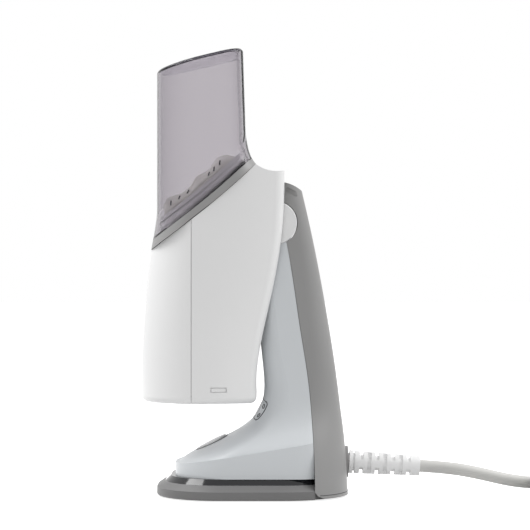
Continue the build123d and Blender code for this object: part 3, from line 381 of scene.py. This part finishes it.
# Moulded: colour, roughness, variation of the colour, then grain per metre and its depth
# Rubber: colour and roughness. Metal: colour, roughness and marks per metre. Clear: colour and density
finishes = {
    "white_shell": moulded("white_gloss", WHITE, 0.3, 0.006),
    "grey_shell": moulded("grey_satin", GREY, 0.46, 0.03, 3600.0, 20 * MICRON),
    "black_band": moulded("black_gloss", (0.008, 0.008, 0.01), 0.1, 0.1, 900.0, MICRON, specular=0.42),
    "panel_dark": moulded("panel_satin", (0.7, 0.7, 0.71), 0.4, 0.02, 3000.0, 10 * MICRON),
    "rubber_black": rubber("black_rubber", (0.025, 0.025, 0.026), 0.7),
    "steel": metal("plated_steel", (0.6, 0.6, 0.61), 0.28, 900.0),
    "sleeve_plastic": moulded("dark_plastic", (0.1, 0.1, 0.105), 0.5, 0.05, 2600.0, 20 * MICRON),
    "board_green": moulded("board_laminate", (0.03, 0.14, 0.06), 0.42, 0.12, 700.0, 20 * MICRON),
    "alloy": metal("cast_alloy", (0.66, 0.66, 0.67), 0.38, 500.0),
    "heater_steel": metal("heater_tube", (0.36, 0.34, 0.32), 0.35, 700.0),
    "pump_plastic": moulded("pump_plastic", (0.55, 0.53, 0.47), 0.45, 0.04, 2400.0, 20 * MICRON),
    "hose_clear": rubber("silicone_hose", (0.66, 0.64, 0.6), 0.45),
    "tank_clear": smoky_clear("smoky_tank", (0.848, 0.827, 0.846), 150.0),
    "strainer_grey": moulded("strainer_grey", (0.6, 0.595, 0.56), 0.5, 0.02, 3000.0, 4 * MICRON),
    "cord_grey": rubber("lead_sheath", (0.6, 0.595, 0.575), 0.55),
    "tie_black": tape("tie_tape", (0.05, 0.05, 0.052)),
    "plug_grey": rubber("plug_rubber", (0.57, 0.565, 0.55), 0.5),
}
# Painted shade: the white gloss darker and bluer, for the front shell
shaded_white = moulded("white_painted_shade", SHADED_WHITE, 0.32, 0.006)
# Painted light: a whiter, finely grained white, on the button against the head's shade and also on the strain
# relief
bright_white_painted_light = moulded("white_bright_painted_light", BRIGHT_WHITE_PAINTED_LIGHT, 0.4, 0.01, 2600.0, MICRON)
# Painted shade: a darker smoky clear for the tank's top, as it looks when seen edge on
shaded_tank_top = smoky_clear("shaded_tank_top", (0.42, 0.4, 0.45), 30.0)
# Painted shade: the grey satin darker, for the base plate
shaded_grey = moulded("base_satin_painted_shade", SHADED_GREY, 0.46, 0.03, 3600.0, 20 * MICRON)
floor_grey = moulded("floor_grey", (0.56, 0.555, 0.57), 0.5, 0.02, 3000.0, 4 * MICRON)
# Dark lines: painted shade in gaps and slots, and the print of the panel's frame and rings
gap_shade_and_print = moulded("gap_shade_and_print", (0.03, 0.03, 0.034), 0.5, 0.1, 3000.0, 2 * MICRON)

own_finishes = {
    "front_shell": shaded_white,
    "base_plate": shaded_grey,
    "tank_floor": floor_grey,
    "strain_relief": bright_white_painted_light,
    "power_button": bright_white_painted_light,
}


def paint(node, finish):
    """Gives a CAD node one finish all over."""
    for slot in nodes[node].material_slots:
        slot.material = finish


for subpart in frame["record"]["subparts"]:
    paint(subpart["node"], finishes[subpart["material_slot"]])
for own_node, own_finish in own_finishes.items():
    paint(own_node, own_finish)


# Pieces on the CAD surfaces

def new_piece(name, data, body):
    """A piece in the scene, which moves with a body."""
    piece = bpy.data.objects.new(name, data)
    scene.collection.objects.link(piece)
    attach(piece, body)
    return piece


def mesh_piece(name, points, faces, material, body, smooth=True):
    """A piece made from points and faces."""
    mesh = bpy.data.meshes.new(name)
    mesh.from_pydata([tuple(point) for point in points], [], faces)
    mesh.update()
    for polygon in mesh.polygons:
        polygon.use_smooth = smooth
    mesh.materials.append(material)
    return new_piece(name, mesh, body)


def line_piece(name, lines, radius, material, body, closed=True):
    """Thin lines of round section, open or closed, each through its own points."""
    curve = bpy.data.curves.new(name, "CURVE")
    curve.dimensions = "3D"
    curve.bevel_depth = radius
    curve.bevel_resolution = LINE_SECTION
    for line in lines:
        spline = curve.splines.new("POLY")
        spline.points.add(len(line) - 1)
        for control, point in zip(spline.points, line):
            control.co = (*point, 1)
        spline.use_cyclic_u = closed
    curve.materials.append(material)
    return new_piece(name, curve, body)


def surface(node):
    """A node's surface, to set points on."""
    mesh = nodes[node].data
    corners = [vertex.co for vertex in mesh.vertices]
    return BVHTree.FromPolygons(corners, [tuple(polygon.vertices) for polygon in mesh.polygons])


def set_on(tree, point, way, lift=0.0):
    """Where a point lands on a surface along a way, raised by a lift towards where it came from."""
    hit = tree.ray_cast(point, way)[0]
    return hit - way * lift


def loop_length(loop):
    """Length of a run of points."""
    return sum((after - here).length for here, after in zip(loop, loop[1:]))


def rim(node, way):
    """The longest edge round a node's faces that look one way, in order."""
    work = bmesh.new()
    work.from_mesh(nodes[node].data)
    bmesh.ops.remove_doubles(work, verts=work.verts, dist=SAME_POINT)
    faces = {face for face in work.faces if face.normal.dot(way) > SAME_WAY}
    edges = [edge for edge in work.edges if sum(face in faces for face in edge.link_faces) == 1]
    beside = {}
    for edge in edges:
        one, two = edge.verts
        beside.setdefault(one, []).append(two)
        beside.setdefault(two, []).append(one)
    loops = []
    left = set(beside)
    while left:
        step = [min(left, key=lambda vertex: vertex.index)]
        loop = []
        while step:
            loop.append(step[0])
            left.discard(step[0])
            step = [vertex for vertex in beside[loop[-1]] if vertex in left]
        loops.append([vertex.co.copy() for vertex in loop])
    work.free()
    return max(loops, key=loop_length)


def inward_ways(loop):
    """Level ways from each point of a loop to the loop's middle."""
    middle = sum(loop, Vector()) / len(loop)
    return [Vector((middle.x - point.x, middle.y - point.y, 0)).normalized() for point in loop]


def circle(steps):
    """Cosine and sine of each step round a full turn."""
    angles = [FULL_TURN * step / steps for step in range(steps)]
    return [(math.cos(angle), math.sin(angle)) for angle in angles]


def rounded_outline(half_length, half_height, corner, steps):
    """Points round the corners of a rounded rectangle."""
    points = []
    for turn, (x, z) in enumerate(((1, 1), (-1, 1), (-1, -1), (1, -1))):
        for step in range(steps + 1):
            angle = QUARTER_TURN * (turn + step / steps)
            points.append((x * (half_length - corner) + corner * math.cos(angle),
                           z * (half_height - corner) + corner * math.sin(angle)))
    return points


# Tank

def seat_point(along, across, height):
    """A place over the seat of the tank, from sizes in mm."""
    return SEAT_MIDDLE + MM * (SEAT_ALONG * along + ACROSS * across + SEAT_NORMAL * height)


def strainer_height(along):
    """Height of the strainer's top along the seat."""
    waves = sum(rise * math.exp(-((along - middle) / width) ** 2) for middle, width, rise in STRAINER_WAVES)
    front = (along - STRAINER_START) / STRAINER_FRONT_RISE
    rear = (STRAINER_END - along) / STRAINER_REAR_RISE
    share = math.sin(QUARTER_TURN * max(min(front, rear, 1.0), 0.0))
    return STRAINER_BASE + (STRAINER_CREST - STRAINER_BASE + waves) * share


def strainer_half(along):
    """Half the strainer's width, rounded off towards its front end."""
    front = min((along - STRAINER_START) / STRAINER_FRONT_ROUND, 1.0)
    return STRAINER_HALF * math.sqrt(max(front, STRAINER_LEAST_SHARE))


def strainer_place(along, side):
    """A place on the strainer's rounded top; side runs from -1 to 1."""
    rise = strainer_height(along) - STRAINER_BASE
    height = STRAINER_BASE + rise * (1 - abs(side) ** STRAINER_SQUARENESS)
    return seat_point(along, strainer_half(along) * side, height)


def strainer_grid():
    """The strainer's points row by row, and which of them the hole over the valve pushes out to its edge."""
    points, in_hole = [], []
    for row in range(STRAINER_ROWS + 1):
        for column in range(STRAINER_COLUMNS + 1):
            along = STRAINER_START + (STRAINER_END - STRAINER_START) * row / STRAINER_ROWS
            side = 2 * column / STRAINER_COLUMNS - 1
            off = Vector((along - STRAINER_VALVE, strainer_half(along) * side))
            inside = off.length < STRAINER_HOLE
            if inside and off.length > 0:
                off = off.normalized() * STRAINER_HOLE
                along = STRAINER_VALVE + off.x
                side = off.y / strainer_half(along)
            points.append(strainer_place(along, side))
            in_hole.append(inside)
    return points, in_hole


def make_strainer():
    """The wavy strainer over the tank floor, with a hole over the valve and dark lines along its sides,
    painted shade in its slots.
    """
    points, in_hole = strainer_grid()
    wide = STRAINER_COLUMNS + 1
    faces = []
    for row in range(STRAINER_ROWS):
        for column in range(STRAINER_COLUMNS):
            first = row * wide + column
            face = (first, first + wide, first + wide + 1, first + 1)
            if not all(in_hole[corner] for corner in face):
                faces.append(face)
    strainer = mesh_piece("strainer_waves", points, faces, finishes["strainer_grey"], "tank")
    thicken = strainer.modifiers.new("sheet", "SOLIDIFY")
    thicken.thickness = STRAINER_SHEET * MM
    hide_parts("tank_strainer")
    slots = []
    for along in SLOT_PLACES:
        for side in (-1, 1):
            slots.append([strainer_place(along + SLOT_STEP * step, side * (SLOT_SIDE - SLOT_SLANT * step))
                          for step in range(-SLOT_HALF_STEPS, SLOT_HALF_STEPS + 1)])
    line_piece("strainer_slot_shade", slots, SLOT_RADIUS, gap_shade_and_print, "tank", closed=False)


def make_tank():
    """The tank's shell with a darker top of painted shade, which is drawn down, and with its rear edge drawn
    out.
    """
    mesh = nodes["tank_shell"].data.copy()
    # Faces near the top that face up or down take the darker clear of painted shade
    mesh.materials.append(shaded_tank_top)
    for polygon in mesh.polygons:
        top = TANK_TOP_FRONT.z + (polygon.center.x - TANK_TOP_FRONT.x) * TANK_TOP_SLOPE
        if polygon.center.z > top - TANK_TOP_DEPTH and abs(polygon.normal.z) > TANK_TOP_FACING:
            polygon.material_index = len(mesh.materials) - 1
    low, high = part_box("tank_shell")
    start = low.z + TANK_STILL_SHARE * (high.z - low.z)
    for vertex in mesh.vertices:
        rise = max(vertex.co.z - start, 0.0) / (high.z - start)
        back = (vertex.co.x - low.x) / (high.x - low.x)
        rear = max(back - TANK_STILL_SHARE, 0.0) / (1 - TANK_STILL_SHARE)
        vertex.co.z -= (TANK_DROP_FRONT + (TANK_DROP_REAR - TANK_DROP_FRONT) * back) * rise
        vertex.co.x += TANK_REAR_OUT * rise * rear
    tank = new_piece("tank_wall", mesh, "tank")
    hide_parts("tank_shell")


def make_tank_skirt():
    """The grey wall under the tank floor, and a dark line of painted shade in the gap between tank and
    collar.
    """
    edge = rim("tank_floor", -SEAT_NORMAL)
    down = Vector((0, 0, -SKIRT_HEIGHT))
    points = []
    for point, way in zip(edge, inward_ways(edge)):
        outer = point + way * SKIRT_INSET
        inner = outer + way * SKIRT_WALL
        points += [outer, outer + down, inner + down, inner]
    faces = []
    for k in range(len(edge)):
        here = 4 * k
        after = 4 * ((k + 1) % len(edge))
        for side in range(4):
            next_side = (side + 1) % 4
            faces.append((here + side, after + side, after + next_side, here + next_side))
    mesh_piece("tank_skirt", points, faces, floor_grey, "tank")
    seam = rim("tank_shell", -SEAT_NORMAL)
    line = [point + way * SEAT_LINE_INSET - SEAT_NORMAL * SEAT_LINE_DROP
            for point, way in zip(seam, inward_ways(seam))]
    line_piece("seat_gap_shade", [line], SEAT_LINE_RADIUS, gap_shade_and_print, "head")


# Foot and head

def make_button_rim(foot):
    """A dark ring round the button: painted shade in the gap between button and well."""
    uphill = ACROSS.cross(BUTTON_NORMAL).normalized()
    line = []
    for cosine, sine in circle(BUTTON_RIM_STEPS):
        place = BUTTON_MIDDLE + (ACROSS * cosine + uphill * sine) * BUTTON_RIM
        line.append(set_on(foot, place + BUTTON_NORMAL * FOOT_RAY, -BUTTON_NORMAL))
    line_piece("button_gap_shade", [line], BUTTON_RIM_RADIUS, gap_shade_and_print, "stand")


def make_panel_frame(foot):
    """The frame of the panel, with plain rings in it."""
    uphill = ACROSS.cross(PANEL_NORMAL).normalized()

    def on_panel(across, along):
        place = PANEL_MIDDLE + ACROSS * across + uphill * along
        return set_on(foot, place + PANEL_NORMAL * FOOT_RAY, -PANEL_NORMAL)

    corners = rounded_outline(PANEL_HALF_WIDTH, PANEL_HALF_LENGTH, PANEL_CORNER, PANEL_CORNER_STEPS)
    outline = []
    for (x, z), (next_x, next_z) in zip(corners, corners[1:] + corners[:1]):
        for step in range(PANEL_RUN_STEPS):
            share = step / PANEL_RUN_STEPS
            outline.append(on_panel(x + (next_x - x) * share, z + (next_z - z) * share))
    lines = [outline]
    for across in (-RING_ACROSS, RING_ACROSS):
        for along in (-RING_ALONG, RING_ALONG):
            lines.append([on_panel(across + RING_RADIUS * cosine, along + RING_RADIUS * sine)
                          for cosine, sine in circle(RING_STEPS)])
    line_piece("panel_frame", lines, PANEL_LINE_RADIUS, gap_shade_and_print, "stand")


def make_tongue_line():
    """A dark line of painted shade round the heel, in the gap under the tongue of the rear shell."""
    tongue = surface("rear_shell")
    line = []
    for step in range(-TONGUE_HALF_STEPS, TONGUE_HALF_STEPS + 1):
        angle = math.radians(TONGUE_STEP * step)
        way = Vector((math.cos(angle), math.sin(angle), 0))
        hit = tongue.ray_cast(HEEL + way * TONGUE_RAY, -way)[0]
        if hit is not None:
            line.append(hit)
    line_piece("tongue_gap_shade", [line], TONGUE_LINE_RADIUS, gap_shade_and_print, "stand", closed=False)


def make_snap_tabs():
    """The small tab that fills the snap recess on each side of the head, up to a narrow groove."""
    wall = surface("head_rear_shell")
    outline = rounded_outline(SNAP_HALF_LENGTH, SNAP_HALF_HEIGHT, SNAP_CORNER, SNAP_CORNER_STEPS)
    count = len(outline)
    points, faces = [], []
    for side in (-1, 1):
        bottom = len(points)
        top = bottom + count
        for lift in SNAP_LIFTS:
            for x, z in outline:
                place = Vector((SNAP_X + x, side * SNAP_RAY, SNAP_Z + z)) * MM
                points.append(set_on(wall, place, ACROSS * -side, lift * MM))
        faces += [tuple(range(bottom, top)), tuple(range(top, top + count))]
        for k in range(count):
            after = (k + 1) % count
            faces.append((bottom + k, bottom + after, top + after, top + k))
    mesh_piece("snap_tabs", points, faces, finishes["white_shell"], "head", smooth=False)


def make_spring(node, body):
    """A spring's mesh as a piece of its own that moves with a body, in place of its CAD node."""
    spring = new_piece(node + "_turns", nodes[node].data.copy(), body)
    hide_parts(node)
    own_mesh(spring)


front_surface = surface("front_shell")
make_spring("button_spring", "stand")
make_spring("valve_spring", "valve_cap")
make_strainer()
make_tank()
make_tank_skirt()
make_button_rim(front_surface)
make_panel_frame(front_surface)
make_tongue_line()
make_snap_tabs()


# Lead

def coil_point(turn):
    """A place on the coil, counted in turns from where its spiral reverses and climbs to the upper layer."""
    angle = COIL_ENTRY - FULL_TURN * (turn + COIL_TURNS_IN)
    radius = COIL_INNER + COIL_PITCH * abs(turn)
    climb = min(max(turn / COIL_CLIMB_TURNS + 0.5, 0.0), 1.0)
    return Vector((COIL_MIDDLE[0] + radius * math.cos(angle), COIL_MIDDLE[1] + radius * math.sin(angle),
                   COIL_Z + COIL_LAYER * climb))


def lead_points():
    """Control points of the whole lead: its free stretch, the coil and the tail to the plug."""
    turns = COIL_TURNS_IN + COIL_TURNS_OUT
    steps = round(turns * COIL_POINTS_PER_TURN)
    coil = [coil_point(turns * step / steps - COIL_TURNS_IN) for step in range(steps + 1)]
    radius = COIL_INNER + COIL_PITCH * COIL_TURNS_OUT
    out = (coil[-1] - Vector((*COIL_MIDDLE, coil[-1].z))).normalized()
    way = (out * COIL_PITCH + Vector((out.y, -out.x, 0)) * FULL_TURN * radius).normalized()
    return [Vector(point) for point in CORD_ROUTE] + coil + [coil[-1] + way * TAIL_LENGTH]


def make_lead():
    """The mains lead as one smooth tube."""
    curve = bpy.data.curves.new("mains_lead", "CURVE")
    curve.dimensions = "3D"
    curve.bevel_depth = CORD_DIAMETER / 2
    curve.bevel_resolution = LEAD_SECTION
    curve.resolution_u = LEAD_STEPS
    curve.use_fill_caps = True
    points = lead_points()
    spline = curve.splines.new("NURBS")
    spline.points.add(len(points) - 1)
    for control, point in zip(spline.points, points):
        control.co = (*point, 1)
    spline.order_u = 3
    spline.use_endpoint_u = True
    curve.materials.append(finishes["cord_grey"])
    piece = new_piece("mains_lead", curve, "stand")
    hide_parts("power_cord", "cord_coil")
    return piece


def make_tie():
    """The band round the coil, with soft edges."""
    piece = new_piece("lead_tie", nodes["cord_tie"].data.copy(), "stand")
    soften = piece.modifiers.new("soft_edges", "BEVEL")
    soften.width = TIE_EDGE
    soften.segments = 2
    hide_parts("cord_tie")
    return piece


lead = make_lead()
tie = make_tie()


# Studio

def seen_white(tree, shader_output, strength):
    """Adds white that only the camera, reflections and clear pieces see."""
    path = tree.nodes.new("ShaderNodeLightPath")
    glow = tree.nodes.new("ShaderNodeEmission")
    either = path.outputs["Is Camera Ray"]
    for ray in ("Is Glossy Ray", "Is Transmission Ray"):
        most = tree.nodes.new("ShaderNodeMath")
        most.operation = "MAXIMUM"
        tree.links.new(either, most.inputs[0])
        tree.links.new(path.outputs[ray], most.inputs[1])
        either = most.outputs["Value"]
    level = tree.nodes.new("ShaderNodeMath")
    level.operation = "MULTIPLY"
    level.inputs[1].default_value = strength
    tree.links.new(either, level.inputs[0])
    tree.links.new(level.outputs["Value"], glow.inputs["Strength"])
    both = tree.nodes.new("ShaderNodeAddShader")
    tree.links.new(shader_output, both.inputs[0])
    tree.links.new(glow.outputs["Emission"], both.inputs[1])
    return both.outputs["Shader"]


def make_floor():
    """A pale floor that keeps the steamer's shadow."""
    mesh = bpy.data.meshes.new("floor")
    corners = [(x * FLOOR_HALF, y * FLOOR_HALF, 0) for x, y in ((-1, -1), (1, -1), (1, 1), (-1, 1))]
    mesh.from_pydata(corners, [], [(0, 1, 2, 3)])
    floor = bpy.data.objects.new("floor", mesh)
    scene.collection.objects.link(floor)
    material, tree, shader = new_material("pale_floor")
    shader.inputs["Base Color"].default_value = (*FLOOR_COLOUR, 1)
    shader.inputs["Roughness"].default_value = FLOOR_ROUGHNESS
    shader.inputs["Specular IOR Level"].default_value = FLOOR_SPECULAR
    lit = seen_white(tree, shader.outputs["BSDF"], FLOOR_GLOW)
    tree.links.new(lit, tree.nodes["Material Output"].inputs["Surface"])
    mesh.materials.append(material)


def make_world():
    """Even white light from all round, on a white background."""
    world = bpy.data.worlds.new("studio")
    scene.world = world
    world.use_nodes = True
    tree = world.node_tree
    background = tree.nodes["Background"]
    background.inputs["Color"].default_value = (1, 1, 1, 1)
    background.inputs["Strength"].default_value = WORLD_LIGHT
    lit = seen_white(tree, background.outputs["Background"], 1 - WORLD_LIGHT)
    tree.links.new(lit, tree.nodes["World Output"].inputs["Surface"])


def make_lamp(name, place, watts):
    """A square soft lamp that faces the steamer."""
    light = bpy.data.lights.new(name, "AREA")
    light.size = LAMP_SIZE
    light.energy = watts
    lamp = bpy.data.objects.new(name, light)
    lamp.location = place
    way = LAMP_TARGET - Vector(place)
    lamp.rotation_euler = way.to_track_quat("-Z", "Y").to_euler()
    scene.collection.objects.link(lamp)


def make_camera():
    """A long lens at the height of the middle of the steamer."""
    data = bpy.data.cameras.new("camera")
    data.sensor_width = SENSOR
    data.lens = SENSOR * CAMERA_DISTANCE / VIEW_WIDTH
    camera = bpy.data.objects.new("camera", data)
    camera.location = (CAMERA_X, -CAMERA_DISTANCE, CAMERA_Z)
    camera.rotation_euler = (QUARTER_TURN, 0, 0)
    scene.collection.objects.link(camera)
    scene.camera = camera


make_floor()
make_world()
for lamp_name, (lamp_place, lamp_watts) in LAMPS.items():
    make_lamp(lamp_name, lamp_place, lamp_watts)
make_camera()
